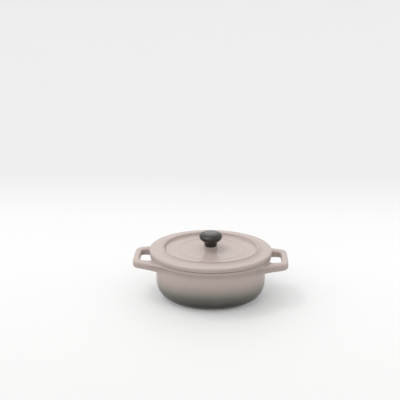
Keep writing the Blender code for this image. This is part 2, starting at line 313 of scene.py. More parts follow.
class Shade:
    """A node socket that takes part in Python expressions."""

    def __init__(self, graph: "Graph", socket: bpy.types.NodeSocket) -> None:
        """Wrap an output socket of a graph."""
        self.graph = graph
        self.socket = socket

    def __add__(self, other: Value) -> "Shade":
        """Sum."""
        return self.graph.math("ADD", self, other)

    __radd__ = __add__

    def __sub__(self, other: Value) -> "Shade":
        """Difference."""
        return self.graph.math("SUBTRACT", self, other)

    def __rsub__(self, other: Value) -> "Shade":
        """Difference from a number."""
        return self.graph.math("SUBTRACT", other, self)

    def __mul__(self, other: Value) -> "Shade":
        """Product."""
        return self.graph.math("MULTIPLY", self, other)

    __rmul__ = __mul__

    def __truediv__(self, other: Value) -> "Shade":
        """Quotient."""
        return self.graph.math("DIVIDE", self, other)

    def between(self, low: float, high: float) -> "Shade":
        """Smooth step from 0 at low to 1 at high."""
        settings = {"interpolation_type": "SMOOTHSTEP"}
        return self.graph.node("ShaderNodeMapRange", settings, {0: self, 1: low, 2: high})


class Graph:
    """The node tree of a material or of the world."""

    def __init__(self, owner: bpy.types.Material | bpy.types.World) -> None:
        """Start from the owner's first shader.

        Args:
            owner: The material or the world.
        """
        self.owner = owner
        owner.use_nodes = True
        self.tree = owner.node_tree
        self.shader = next(node for node in self.tree.nodes if not node.name.endswith("Output"))

    def feed(self, socket: bpy.types.NodeSocket, value: Value) -> None:
        """Link a shade to a socket, or set a plain value on it.

        Args:
            socket: The socket.
            value: The shade or the plain value.
        """
        if isinstance(value, Shade):
            self.tree.links.new(value.socket, socket)
        elif socket.type == "RGBA":
            socket.default_value = (*value, 1.0)
        else:
            socket.default_value = value

    def node(
        self,
        kind: str,
        settings: dict[str, object] | None = None,
        sockets: dict[int | str, Value] | None = None,
        out: int | str = 0,
    ) -> Shade:
        """Add a node.

        Args:
            kind: The node's type.
            settings: Its settings; "stops" gives a ramp's (place, colour) pairs.
            sockets: Values or shades for its inputs, by name or number.
            out: The output that is wanted.

        Returns:
            That output as a shade.
        """
        made = self.tree.nodes.new(kind)
        for name, value in (settings or {}).items():
            if name != "stops":
                setattr(made, name, value)
                continue
            elements = made.color_ramp.elements
            while len(elements) < len(value):
                elements.new(1.0)
            for element, (place, colour) in zip(elements, value):
                element.position = place
                element.color = (*colour, 1.0)
        for key, value in (sockets or {}).items():
            self.feed(made.inputs[key], value)
        return Shade(self, made.outputs[out])

    def math(self, operation: str, *values: Value) -> Shade:
        """Add one Math node."""
        return self.node("ShaderNodeMath", {"operation": operation}, dict(enumerate(values)))

    def place(self) -> Shade:
        """The point on the surface, in the object's own metres."""
        return self.node("ShaderNodeTexCoord", out="Object")

    def axis(self, name: str, vector: Shade | None = None) -> Shade:
        """One coordinate of a vector, or else of the point on the surface."""
        return self.node("ShaderNodeSeparateXYZ", None, {0: vector or self.place()}, name)

    def seen(self) -> Shade:
        """1 where a surface is looked at, directly, in a reflection or through glass."""
        rays = ("Is Camera Ray", "Is Glossy Ray", "Is Transmission Ray")
        return sum((self.node("ShaderNodeLightPath", out=ray) for ray in rays), start=0.0)

    def noise(self, grain: float, detail: float = 2.0) -> Shade:
        """Soft noise from 0 to 1, with lumps of a grain in metres and its finer octaves."""
        sockets = {"Vector": self.place(), "Scale": 1.0 / grain, "Detail": detail}
        return self.node("ShaderNodeTexNoise", None, sockets, "Fac")

    def ramp(self, value: Shade, stops: Stops) -> Shade:
        """Let a colour follow a value.

        Args:
            value: The value.
            stops: The colours, each with the value where it stands.

        Returns:
            The colour.
        """
        low = stops[0][0]
        span = stops[-1][0] - low
        scaled = [((place - low) / span, colour) for place, colour in stops]
        sockets = {"Fac": (value - low) / span}
        return self.node("ShaderNodeValToRGB", {"stops": scaled}, sockets, "Color")

    def mix(self, factor: Value, first: Value, second: Value, blend: str = "MIX") -> Shade:
        """Blend a second colour over a first one."""
        settings = {"data_type": "RGBA", "blend_type": blend}
        return self.node("ShaderNodeMix", settings, {0: factor, 6: first, 7: second}, 2)

    def bump(self, height: Shade, depth: float) -> Shade:
        """Turn a relief from 0 to 1, with its depth in metres, into a normal."""
        return self.node("ShaderNodeBump", None, {"Distance": depth, "Height": height}, "Normal")

    def surface(self, **values: Value) -> bpy.types.Material | bpy.types.World:
        """Feed the shader, with its sockets' names in lower case and underscores.

        Args:
            values: A value or a shade for each socket.

        Returns:
            The finished owner of the graph.
        """
        names = {socket.name.lower().replace(" ", "_"): socket for socket in self.shader.inputs}
        for name, value in values.items():
            self.feed(names[name], value)
        return self.owner


TAUPE = (0.458, 0.38, 0.345)
# Painted light: the upright wall gets a lighter copy of the lid's taupe, which offsets the shade it
# stands in under the rim.
TAUPE_WALL_LIT = (0.555, 0.462, 0.422)
TAUPE_LOW = (0.47, 0.395, 0.353)
OLIVE_GREY = (0.29, 0.262, 0.23)
SLATE = (0.155, 0.145, 0.127)
SOOT = (0.042, 0.039, 0.035)
BLACK = (0.02, 0.019, 0.017)
FOOT_GREY = (0.55, 0.525, 0.49)
# Painted shade and light: the inside enamel darkens towards the bottom of the pot and lightens towards
# the rim.
SAND_SHADED = (0.58, 0.52, 0.425)
SAND = (0.66, 0.6, 0.5)
SAND_LIT = (0.71, 0.655, 0.565)
GRAPHITE = (0.06, 0.057, 0.053)
MOTTLE_GREY = (0.5, 0.5, 0.5)


@dataclass(frozen=True)
class EnamelFinish:
    """Glossy enamel in shades that change with height: the sprayed ombre, with painted light and painted
    shade in some of its shades, and painted shade lines along crests.
    """

    name: str
    shades: Stops
    roughness: float = 0.13
    unevenness: float = 0.06
    mottle: float = 0.05
    drift: float = 1.0 * MM
    # Painted light: how far the shades are lifted towards the ends of the oval, which lightens the pot's
    # sides.
    end_light_lift: float = 0.0
    shift_start: Point = (2.0 * MM, 9.0 * MM)
    oval: Point = (54.5 * MM, 40.2 * MM)
    # Painted shade lines, as (inset, strength): dark lines along crests.
    crest_shade_lines: tuple[Point, ...] = ()
    crest_shade_width: float = 1.0 * MM
    peel: float = 0.02 * MM
    peel_grain: float = 4.0 * MM
    cloud_grain: float = 14.0 * MM
    cloud_share: float = 0.5
    fine_grain: float = 0.7 * MM
    ior: float = 1.46

    def material(self) -> bpy.types.Material:
        """Make the enamel.

        Returns:
            Its material.
        """
        graph = Graph(bpy.data.materials.new(self.name))
        cloud = graph.noise(self.cloud_grain, detail=3.0)
        fine = graph.noise(self.fine_grain, detail=1.0)
        along, across = (graph.axis(axis) / half for axis, half in zip("XY", self.oval))
        height = graph.axis("Z")
        # The cloud's drift is random tone; the lift towards the ends is painted light on the pot's
        # sides.
        shift = along * along * self.end_light_lift + (cloud - NOISE_MEAN) * (2 * self.drift)
        sprayed_and_painted_light = graph.ramp(height + shift * height.between(*self.shift_start), self.shades)
        mottle = (cloud * self.cloud_share + fine * (1 - self.cloud_share)) * self.mottle
        colour = graph.mix(mottle, sprayed_and_painted_light, MOTTLE_GREY, "MULTIPLY")
        # Painted shade: dark lines along the lid's ridge crest and inner ring, strongest at the front
        # and back and fading towards the ends.
        square = along * along + across * across
        inset = (1.0 - graph.math("SQRT", square)) * self.oval[0]
        sideways = across * across / (square + WELD)
        for crest, strength in self.crest_shade_lines:
            crest_shade_mask = 1.0 - graph.math("ABSOLUTE", inset - crest).between(0.0, self.crest_shade_width)
            colour = graph.mix(crest_shade_mask * sideways * strength, colour, SOOT)
        return graph.surface(
            base_color=colour,
            roughness=self.roughness + (cloud - NOISE_MEAN) * self.unevenness,
            ior=self.ior,
            normal=graph.bump(graph.noise(self.peel_grain), self.peel),
        )


@dataclass(frozen=True)
class PhenolicFinish:
    """Black moulded phenolic with a satin skin, polished on its crown, which is painted a lighter grey
    as painted light on the top.
    """

    name: str = "black_phenolic"
    colour: Colour = (0.018, 0.015, 0.013)
    lightening: float = 1.5
    # Painted light: the lighter grey of the crown, where light falls on the top.
    crown_light: Colour = (0.03, 0.028, 0.027)
    crown: Point = (67.5 * MM, 68.5 * MM)
    polish: float = 0.65
    polish_roughness: float = 0.2
    polish_ior: float = 1.6
    roughness: float = 0.27
    unevenness: float = 0.12
    ior: float = 1.45
    cloud_grain: float = 6.0 * MM
    cloud_share: float = 0.6
    fine_grain: float = 0.25 * MM
    grain_depth: float = 0.006 * MM

    def material(self) -> bpy.types.Material:
        """Make the phenolic.

        Returns:
            Its material.
        """
        graph = Graph(bpy.data.materials.new(self.name))
        cloud = graph.noise(self.cloud_grain, detail=3.0)
        grain = graph.noise(self.fine_grain)
        # Painted light: the crown is mixed towards a lighter grey where light falls on the top.
        crown = graph.axis("Z").between(*self.crown)
        lighter = tuple(self.lightening * channel for channel in self.colour)
        mottle = cloud * self.cloud_share + grain * (1 - self.cloud_share)
        moulded = graph.mix(mottle, self.colour, lighter)
        return graph.surface(
            base_color=graph.mix(crown, moulded, self.crown_light),
            roughness=self.roughness + (cloud - NOISE_MEAN) * self.unevenness,
            ior=self.ior,
            coat_weight=crown * self.polish,
            coat_roughness=self.polish_roughness,
            coat_ior=self.polish_ior,
            normal=graph.bump(grain, self.grain_depth),
        )


@dataclass(frozen=True)
class MetalFinish:
    """Turned metal with fine tool marks round its axis."""

    name: str
    colour: Colour
    roughness: float
    unevenness: float = 0.2
    darkening: float = 0.7
    cloud_grain: float = 2.0 * MM
    mark_scale: float = 1200.0
    mark_depth: float = 0.004 * MM

    def material(self) -> bpy.types.Material:
        """Make the metal.

        Returns:
            Its material.
        """
        graph = Graph(bpy.data.materials.new(self.name))
        cloud = graph.noise(self.cloud_grain, detail=3.0)
        marks = graph.node(
            "ShaderNodeTexWave",
            {"wave_type": "RINGS", "rings_direction": "Z"},
            {"Vector": graph.place(), "Scale": self.mark_scale, "Distortion": 1.0},
            "Fac",
        )
        darker = tuple(self.darkening * channel for channel in self.colour)
        return graph.surface(
            base_color=graph.mix(cloud, self.colour, darker),
            metallic=1.0,
            roughness=self.roughness + (cloud - NOISE_MEAN) * self.unevenness,
            normal=graph.bump(marks, self.mark_depth),
        )


Finishes = tuple[EnamelFinish | PhenolicFinish | MetalFinish, ...]

POT_ENAMEL = EnamelFinish(
    "pot_gradient_enamel",
    (
        (0.1 * MM, BLACK),
        (0.3 * MM, FOOT_GREY),
        (1.6 * MM, FOOT_GREY),
        (2.2 * MM, BLACK),
        (4.0 * MM, BLACK),
        (9.0 * MM, SOOT),
        (17.0 * MM, SLATE),
        (22.0 * MM, OLIVE_GREY),
        (29.0 * MM, TAUPE_LOW),
        # Painted light: a lighter band on the upright wall under the rim.
        (36.5 * MM, TAUPE_WALL_LIT),
        (43.5 * MM, TAUPE),
    ),
    end_light_lift=5.5 * MM,
)
LID_ENAMEL = EnamelFinish(
    "lid_taupe_enamel",
    ((46.0 * MM, TAUPE), (56.0 * MM, TAUPE)),
    oval=(60.5 * MM, 46.2 * MM),
    # Painted shade lines along the ridge crest and the inner ring.
    crest_shade_lines=((12.9 * MM, 0.2), (28.0 * MM, 0.15)),
)
# Painted shade: the inside darkens towards the bottom.
INNER_ENAMEL = EnamelFinish(
    "inner_sand_enamel",
    ((4.0 * MM, SAND_SHADED), (24.0 * MM, SAND), (46.0 * MM, SAND_LIT)),
    roughness=0.14,
    mottle=0.12,
)
BARE_RIM = EnamelFinish("rim_matt_enamel", ((0.0, GRAPHITE), (50.0 * MM, GRAPHITE)), roughness=0.5)
PHENOLIC = PhenolicFinish()
BRASS = MetalFinish("insert_brass", (0.78, 0.55, 0.24), 0.3)
STEEL = MetalFinish("plated_steel", (0.62, 0.61, 0.59), 0.28)
WASHER_STEEL = MetalFinish("stamped_steel", (0.56, 0.56, 0.55), 0.36)


def settle(item: Item, body: Body, node: str) -> None:
    """Let a finished piece stand for its node and ride on its body.

    Args:
        item: The piece.
        body: The body that carries it.
        node: The node that it stands for.
    """
    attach(item, body.value)
    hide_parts(node)
    log.info("%s: %d faces on %s", item.name, len(item.data.polygons), body.value)


@dataclass
class Piece:
    """A piece of the cocotte: the node that it stands for, the body that carries it and its finishes."""

    node: str = ""
    body: Body = Body.LID
    finishes: Finishes = ()

    def build(self) -> Item:
        """Model the piece."""
        raise NotImplementedError

    def dress(self, item: Item) -> None:
        """Give the modelled piece its finishes."""
        for finish in self.finishes:
            item.data.materials.append(finish.material())


@dataclass
class LoopHandle:
    """Sizes of one loop handle, and the cage of its bar from the wall to the middle of its end."""

    root: float
    end: float
    top: float
    root_half: float = 21.8 * MM
    end_half: float = 17.5 * MM
    thickness: float = 6.8 * MM
    root_deepening: float = 1.6 * MM
    corner: float = 6.5 * MM
    edge_pull: float = 0.5 * MM
    edge_support: float = 2.3 * MM
    end_bar: float = 6.6 * MM
    side_bar: float = 6.4 * MM
    root_bar: float = 9.4 * MM
    opening_corner: float = 6.5 * MM
    flat_start: float = 60.5 * MM
    fillet_share: float = 0.3
    columns: int = 4
    rows: int = 0

    def outlines(self) -> tuple[list[Point], list[Point]]:
        """Plan of the bar's inner and outer side, point for point, out to the middle of the end.

        Returns:
            The two lists of points.
        """
        opening_end = self.end - self.end_bar
        narrowing = (self.root_half - self.end_half) / (self.end - self.root)
        opening_half = self.root_half - narrowing * (opening_end - self.root) - self.side_bar
        widening = (self.root_half - self.root_bar - opening_half) / (opening_end - self.root)
        inner_start = opening_half + widening * (opening_end - self.flat_start)
        outer_start = self.root_half - narrowing * (self.flat_start - self.root)
        inner = rounded(
            (self.flat_start, inner_start, 0.0),
            (opening_end, opening_half, self.opening_corner),
            (opening_end, 0.0, 0.0),
        )
        outer = rounded(
            (self.flat_start, outer_start, 0.0),
            (self.end, self.end_half, self.corner),
            (self.end, 0.0, 0.0),
        )
        return inner, outer

    def spread(self, index: int, count: int, length: float) -> float:
        """Place of a cage line across a side of the bar, close to both edges to keep them round.

        Args:
            index: Number of the line, from 0.
            count: Number of spaces on the side.
            length: Length of the side.

        Returns:
            Distance from the side's start.
        """
        if index == 0:
            return 0.0
        if index == count:
            return length
        inner = length - 2 * self.edge_support
        return self.edge_support + inner * (index - 1) / (count - 2)

    def point(self, inner: Point, outer: Point, column: int, row: int) -> Vector:
        """Place of one cage point of a cross-section.

        Args:
            inner: Plan point of the section on the inner side.
            outer: Plan point of the section on the outer side.
            column: Number of the point across, from the inner side.
            row: Number of the point upwards.

        Returns:
            Its place.
        """
        along = ((inner[0] + outer[0]) / 2 - self.root) / (self.end - self.root)
        thickness = self.thickness + self.root_deepening * max(0.0, 1.0 - along)
        start = Vector((*inner, self.top - thickness))
        across = Vector((*outer, start.z)) - start
        width = across.length
        right = self.spread(column, self.columns, width)
        up = self.spread(row, self.rows, thickness)
        if column in (0, self.columns) and row in (0, self.rows):
            right += self.edge_pull if column == 0 else -self.edge_pull
            up += self.edge_pull if row == 0 else -self.edge_pull
        return start + across * (right / width) + Vector((0.0, 0.0, up))


@dataclass
class PotCasting(Piece):
    """The pot: body, rim and loop handles in one smooth casting."""

    node: str = "pot"
    body: Body = Body.POT
    finishes: Finishes = (POT_ENAMEL, BARE_RIM, INNER_ENAMEL)
    wall: float = 4.0 * MM
    wall_shares: Point = (0.35, 0.75)
    floor: float = 5.0 * MM
    belly_height: float = 18.5 * MM
    belly_steps: int = 7
    base: Point = (43.2 * MM, 32.2 * MM)
    centre_inset: float = 14.0 * MM
    foot_height: float = 1.9 * MM
    foot_step: float = 0.1 * MM
    foot_rounding: float = 0.4 * MM
    lid_overhang: float = 0.5 * MM
    rim_overhang: float = 5.5 * MM
    rim_depth: float = 2.4 * MM
    rim_rounding: float = 0.6 * MM
    rim_fillet: float = 2.0 * MM
    lip_width: float = 2.2 * MM
    lip_rounding: float = 0.3 * MM
    mouth_rounding: float = 0.8 * MM
    handle_drop: float = 2.0 * MM
    handle_foot: float = 3.0 * MM
    handle_columns: tuple[int, int] = (3, 7)
    height: float = field(init=False)
    oval: Point = field(init=False)

    def __post_init__(self) -> None:
        """Take the overall sizes from the frame."""
        self.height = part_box("pot")[1].z
        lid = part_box("lid")[1]
        reach = self.lid_overhang + self.rim_overhang
        self.oval = (lid.x - reach, lid.y - reach)

    def belly(self, wall: float, bottom: float) -> list[Ring]:
        """Rings of the rounded belly.

        Args:
            wall: Distance inside the pot's outside.
            bottom: Height of the belly's lowest ring.

        Returns:
            Rings from the bottom up to the upright wall.
        """
        rings = []
        for step in range(self.belly_steps + 1):
            angle = math.pi / 2 * step / self.belly_steps
            half_x, half_y = (
                base + (side - base) * math.sin(angle) - wall for base, side in zip(self.base, self.oval)
            )
            rise = (self.belly_height - bottom) * (1 - math.cos(angle))
            rings.append(Ring(half_x, half_y, bottom + rise))
        return rings

    def build(self) -> Item:
        """Model the casting: a quarter with half a handle, mirrored and smoothed.

        Returns:
            The finished casting.
        """
        handle = LoopHandle(self.oval[0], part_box("pot")[1].x, self.height - self.handle_drop)
        handle_bottom = handle.top - handle.thickness - self.handle_foot
        under_rim = self.height - self.rim_depth
        lip_top = self.height + LIP_RISE
        lip_inner = self.lip_width - self.rim_overhang
        middle = (handle_bottom + under_rim - self.rim_fillet) / 2
        foot = rounded(
            (3 * self.foot_rounding, 0.0, 0.0),
            (self.foot_step, 0.0, self.foot_rounding),
            (self.foot_step, self.foot_height, 0.0),
        )
        rim = rounded(
            (0.0, handle_bottom, 0.0),
            (0.0, middle, 0.0),
            (0.0, under_rim, self.rim_fillet),
            (-self.rim_overhang, under_rim, self.rim_rounding),
            (-self.rim_overhang, lip_top, self.rim_rounding),
            (lip_inner, lip_top, self.lip_rounding),
            (lip_inner + LIP_RUN, self.height, self.lip_rounding),
            (self.wall / 4, self.height, 0.0),
            (self.wall, self.height, self.mouth_rounding),
            (self.wall, middle, 0.0),
            steps=2,
        )
        rings = [Ring.inset(self.base, self.centre_inset, 0.0)]
        rings += [Ring.inset(self.base, *point) for point in foot]
        rings += self.belly(0.0, self.foot_height)
        for share in self.wall_shares:
            height = self.belly_height + share * (handle_bottom - self.belly_height)
            rings.append(Ring.inset(self.oval, 0.0, height))
        first_row = last_row = len(rings)
        land = inside = 0
        for number, (inset, height) in enumerate(rim, start=first_row):
            rings.append(Ring.inset(self.oval, inset, height))
            if inset < 0.0 and height < handle.top + self.rim_rounding:
                last_row = number
            if inset < 0.0:
                land = number
            if inset < self.wall - WELD:
                inside = number + 1
        rings += reversed(self.belly(self.wall, self.floor))
        rings.append(Ring.inset(self.base, self.centre_inset, self.floor))
        bench = Bench("pot_casting", rings, OVAL_SIDES, Ends.CAPPED)
        bench.paint(land, Zone.SEAT)
        bench.paint(inside, Zone.INSIDE)
        bench.keep_quarter()
        self.raise_handle(bench, handle, first_row, last_row)
        apply_modifier(bench.item, "MIRROR", use_axis=(True, True, False), merge_threshold=WELD)
        return bench.smooth(levels=2)

    def raise_handle(self, bench: Bench, handle: LoopHandle, first_row: int, last_row: int) -> None:
        """Extrude the bar of a handle from the wall and the rim, out to the middle of its end.

        Args:
            bench: The quarter of the pot.
            handle: The handle's sizes.
            first_row: Ring at the foot of the bar.
            last_row: Ring at the top of the bar.
        """
        mesh, ring_of, column_of = bench.labelled()
        low, high = self.handle_columns
        handle.rows = last_row - first_row
        handle.columns = high - low
        bpy.ops.mesh.select_all(action="DESELECT")
        bpy.ops.mesh.select_mode(type="FACE")
        for vert in mesh.verts:
            ring = bench.rings[vert[ring_of]]
            turn = math.atan2(vert.co.y / ring.half_y, vert.co.x / ring.half_x)
            vert[column_of] = round(turn * bench.sides / math.tau)
        for face in mesh.faces:
            rings = [vert[ring_of] for vert in face.verts]
            columns = [vert[column_of] for vert in face.verts]
            in_rows = first_row <= min(rings) and max(rings) <= last_row
            face.select = in_rows and low <= min(columns) and max(columns) <= high
        mesh.select_flush_mode()
        bmesh.update_edit_mesh(bench.item.data)
        inner, outer = handle.outlines()
        starts = {
            (vert[ring_of], vert[column_of]): vert.co.copy() for vert in mesh.verts if vert.select
        }
        for station in range(-1, len(inner)):
            bpy.ops.mesh.extrude_region_move(TRANSFORM_OT_translate={"value": (0.0, 0.0, 0.0)})
            mesh, ring_of, column_of = bench.labelled()
            index = max(station, 0)
            for vert in mesh.verts:
                if not vert.select:
                    continue
                column = vert[column_of] - low
                row = vert[ring_of] - first_row
                target = handle.point(inner[index], outer[index], column, row)
                if station < 0:
                    start = starts[vert[ring_of], vert[column_of]]
                    target = start.lerp(target, handle.fillet_share)
                vert.co = target
            bmesh.update_edit_mesh(bench.item.data)
        bpy.ops.mesh.delete(type="ONLY_FACE")
        bpy.ops.mesh.select_mode(type="VERT")


@dataclass
class LidCasting(Piece):
    """The lid: flange, ridge, panel, boss and locating rib in one smooth casting."""

    node: str = "lid"
    finishes: Finishes = (LID_ENAMEL, BARE_RIM, INNER_ENAMEL)
    edge: float = 5.4 * MM
    shoulder: float = 1.6 * MM
    foot_rounding: float = 0.6 * MM
    lip_inset: float = 3.0 * MM
    flange_rise: float = 0.2 * MM
    panel_drop: float = 0.8 * MM
    panel_shares: Point = (0.33, 0.67)
    thickness: float = 3.6 * MM
    under_steps: int = 5
    rib_inset: float = 11.0 * MM
    rib_thickness: float = 2.6 * MM
    rib_depth: float = 3.4 * MM
    rib_rounding: float = 0.8 * MM
    rib_fillet: float = 1.2 * MM
    flange_width: float = 8.8 * MM
    flange_blend: float = 1.2 * MM
    step_inset: float = 12.6 * MM
    step_run: float = 0.4 * MM
    step_height: float = 0.7 * MM
    step_rounding: float = 0.4 * MM
    ridge_inset: float = 14.4 * MM
    ridge_height: float = 2.9 * MM
    ridge_rounding: float = 1.2 * MM
    ridge_foot: float = 16.2 * MM
    ridge_foot_blend: float = 1.5 * MM
    ring_start: float = 26.0 * MM
    ring_width: float = 4.0 * MM
    ring_height: float = 0.45 * MM
    ring_rounding: float = 4.0 * MM
    boss_radius: float = 6.4 * MM
    boss_rounding: float = 0.7 * MM
    boss_fillet: float = 0.8 * MM
    hole_radius: float = 2.3 * MM
    hole_rounding: float = 0.25 * MM
    oval: Point = field(init=False)
    seat: float = field(init=False)
    edge_top: float = field(init=False)
    panel: float = field(init=False)
    underside: float = field(init=False)
    boss_top: float = field(init=False)

    def __post_init__(self) -> None:
        """Take the overall sizes and the main heights from the frame."""
        low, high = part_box("lid")
        self.oval = (high.x, high.y)
        self.seat = low.z + self.rib_depth
        self.edge_top = self.seat + self.edge
        self.panel = self.edge_top - self.panel_drop
        self.underside = self.panel - self.thickness
        self.boss_top = high.z

    def edge_section(self) -> list[Point]:
        """Section from the panel's underside over the rib and round the outer edge.

        Returns:
            Points as (inset, height), the last one in the middle of the flange.
        """
        rib_bottom = self.seat - self.rib_depth
        rib_inner = self.rib_inset + self.rib_thickness
        return rounded(
            (self.ring_start + self.ring_width, self.underside, 0.0),
            (rib_inner, self.underside, self.rib_fillet),
            (rib_inner, rib_bottom, self.rib_rounding),
            (self.rib_inset, rib_bottom, self.rib_rounding),
            (self.rib_inset, self.seat, self.hole_rounding),
            (self.lip_inset, self.seat, self.hole_rounding),
            (self.lip_inset - LIP_RUN, self.seat + LIP_RISE, self.hole_rounding),
            (0.0, self.seat + LIP_RISE, self.foot_rounding),
            (0.0, self.edge_top, self.shoulder),
            (self.flange_width / 2, self.edge_top + self.flange_rise / 2, 0.0),
        )

    def top_section(self) -> list[Point]:
        """Section from the middle of the flange over the ridge to the inner ring.

        Returns:
            Points as (inset along the length, height).
        """
        crest = self.panel + self.ridge_height
        return rounded(
            (self.flange_width / 2, self.edge_top + self.flange_rise / 2, 0.0),
            (self.flange_width, self.edge_top + self.flange_rise, self.flange_blend),
            (self.step_inset, crest - self.step_height, self.step_rounding),
            (self.step_inset + self.step_run, crest, self.step_rounding),
            (self.ridge_inset, crest, self.ridge_rounding),
            (self.ridge_foot, self.panel, self.ridge_foot_blend),
            (self.ring_start, self.panel, 0.0),
            (self.ring_start + self.ring_width / 2, self.panel + self.ring_height, self.ring_rounding),
            (self.ring_start + self.ring_width, self.panel, 0.0),
        )

    def boss_section(self) -> list[Point]:
        """Section from the panel up over the boss and down the screw hole.

        Returns:
            Points as (radius, height).
        """
        return rounded(
            (self.boss_radius + 3 * self.boss_fillet, self.panel, 0.0),
            (self.boss_radius, self.panel, self.boss_fillet),
            (self.boss_radius, self.boss_top, self.boss_rounding),
            (self.hole_radius, self.boss_top, self.hole_rounding),
            (self.hole_radius, self.underside + 2 * self.hole_rounding, 0.0),
        )

    def build(self) -> Item:
        """Model the casting, from the screw hole out along its underside and back over its top.

        Returns:
            The finished casting.
        """
        edge = [Ring.inset(self.oval, *point) for point in self.edge_section()[:-1]]
        top = [Ring.similar(self.oval, *point) for point in self.top_section()]
        boss = Ring.turned(self.boss_section())
        start = Ring.round(self.hole_radius + self.hole_rounding, self.underside)
        rings = [start.towards(edge[0], step / self.under_steps) for step in range(self.under_steps)]
        first = len(rings)
        panel = [top[-1].towards(boss[0], share) for share in self.panel_shares]
        rings += edge + top + panel + boss
        bench = Bench("lid_casting", rings, OVAL_SIDES, Ends.JOINED)
        reach = [ring.half_x > self.oval[0] - self.rib_inset - WELD for ring in edge]
        outer = [ring.half_x > self.oval[0] - self.foot_rounding for ring in edge]
        bench.paint(0, Zone.INSIDE)
        bench.paint(first + reach.index(True), Zone.SEAT)
        bench.paint(first + outer.index(True), Zone.OUTSIDE)
        return bench.smooth(levels=2)


@dataclass
class Knob(Piece):
    """The knob: a domed cap on a short neck, with the bore that holds its insert."""

    node: str = "knob"
    finishes: Finishes = (PHENOLIC,)
    dome: float = 3.8 * MM
    cap_depth: float = 6.5 * MM
    neck_top: float = 6.8 * MM
    neck_foot: float = 6.2 * MM
    foot_rounding: float = 0.5 * MM
    bore: float = 3.8 * MM
    bore_depth: float = 7.6 * MM
    bore_rounding: float = 0.15 * MM
    key: float = 0.5 * MM
    key_half: float = 0.7 * MM
    key_rounding: float = 0.1 * MM
    steps: int = 8

    def build(self) -> Item:
        """Model the knob from the top of its cap down to its bore.

        Returns:
            The finished knob.
        """
        low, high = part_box(self.node)
        radius = high.x
        widest = high.z - self.dome
        meets_neck = math.acos(self.neck_top / radius)
        section = []
        for step in range(1, self.steps + 1):
            angle = math.pi / 2 * (1 - step / self.steps)
            section.append((radius * math.cos(angle), widest + self.dome * math.sin(angle)))
        for step in range(1, self.steps + 1):
            angle = meets_neck * step / self.steps
            section.append((radius * math.cos(angle), widest - self.cap_depth * math.sin(angle)))
        bore_top = low.z + self.bore_depth
        middle = low.z + self.bore_depth / 2
        section += rounded(
            (self.neck_top, section[-1][1], 0.0),
            (self.neck_foot, low.z, self.foot_rounding),
            (self.bore, low.z, self.bore_rounding),
            (self.bore, middle - self.key_half, self.key_rounding),
            (self.bore - self.key, middle - self.key_half, self.key_rounding),
            (self.bore - self.key, middle + self.key_half, self.key_rounding),
            (self.bore, middle + self.key_half, self.key_rounding),
            (self.bore, bore_top, self.bore_rounding),
            (self.bore / 3, bore_top, 0.0),
            steps=2,
        )[1:]
        bench = Bench("knob_moulding", Ring.turned(section), ROUND_SIDES, Ends.CAPPED)
        return bench.smooth(levels=2)


@dataclass(frozen=True)
class Thread:
    """A screw thread, drawn as a wave that climbs round the axis."""

    pitch: float = 0.7 * MM
    depth: float = 0.22 * MM
    rings_per_turn: int = 6

    def rings(self, radius: float, start: float, end: float) -> list[Ring]:
        """Plain rings along a threaded length, close enough to carry the wave."""
        count = math.ceil(abs(end - start) / self.pitch * self.rings_per_turn)
        return [Ring.round(radius, start + (end - start) * step / count) for step in range(count + 1)]

    def cut(self, bench: Bench, radius: float, low: float, high: float, outwards: float) -> None:
        """Press the thread into the points of a round face.

        Args:
            bench: The piece.
            radius: Radius of the face.
            low: Height where the thread begins.
            high: Height where it ends.
            outwards: 1 to sink it away from the axis, -1 to sink it towards the axis.
        """
        mesh = bench.edited()
        for vert in mesh.verts:
            across = math.hypot(vert.co.x, vert.co.y)
            if abs(across - radius) > WELD or not low - WELD < vert.co.z < high + WELD:
                continue
            turn = math.atan2(vert.co.y, vert.co.x) / math.tau
            wave = abs(((vert.co.z / self.pitch - turn) % 1.0) * 2 - 1)
            share = 1 + outwards * self.depth * wave / radius
            vert.co.x *= share
            vert.co.y *= share
        bmesh.update_edit_mesh(bench.item.data)


@dataclass
class ThreadedInsert(Piece):
    """The brass insert in the knob: knurled, with a holding groove and a threaded bore."""

    node: str = "knob_insert"
    finishes: Finishes = (BRASS,)
    bore: float = 2.3 * MM
    chamfer: float = 0.3 * MM
    groove_half: float = 1.0 * MM
    groove: float = 0.5 * MM
    knurl: float = 0.14 * MM
    sides: int = 48
    thread: Thread = Thread(depth=0.18 * MM)

    def build(self) -> Item:
        """Model the insert, from the foot of its bore up its side and down through the bore.

        Returns:
            The finished insert.
        """
        low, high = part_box(self.node)
        radius = high.x
        middle = (low.z + high.z) / 2
        lead = self.bore + self.chamfer
        foot = low.z + self.chamfer
        top = high.z - self.chamfer
        side = [
            (lead, low.z),
            (radius - self.chamfer, low.z),
            (radius, foot),
            (radius, middle - self.groove_half),
            (radius - self.groove, middle - self.groove_half),
            (radius - self.groove, middle + self.groove_half),
            (radius, middle + self.groove_half),
            (radius, top),
            (radius - self.chamfer, high.z),
            (lead, high.z),
        ]
        rings = Ring.turned(side) + self.thread.rings(self.bore, top, foot)
        bench = Bench("threaded_insert", rings, self.sides, Ends.JOINED)
        self.cut_knurl(bench, radius)
        self.thread.cut(bench, self.bore, foot + self.thread.pitch, top - self.thread.pitch, 1.0)
        return bench.smooth(levels=1, sharp=True)

    def cut_knurl(self, bench: Bench, radius: float) -> None:
        """Sink every other line of points on the insert's side.

        Args:
            bench: The insert.
            radius: Radius of its side.
        """
        mesh = bench.edited()
        for vert in mesh.verts:
            across = math.hypot(vert.co.x, vert.co.y)
            column = round(math.atan2(vert.co.y, vert.co.x) / math.tau * self.sides)
            if column % 2 and abs(across - radius) < WELD:
                vert.co.x *= 1 - self.knurl / radius
                vert.co.y *= 1 - self.knurl / radius
        bmesh.update_edit_mesh(bench.item.data)


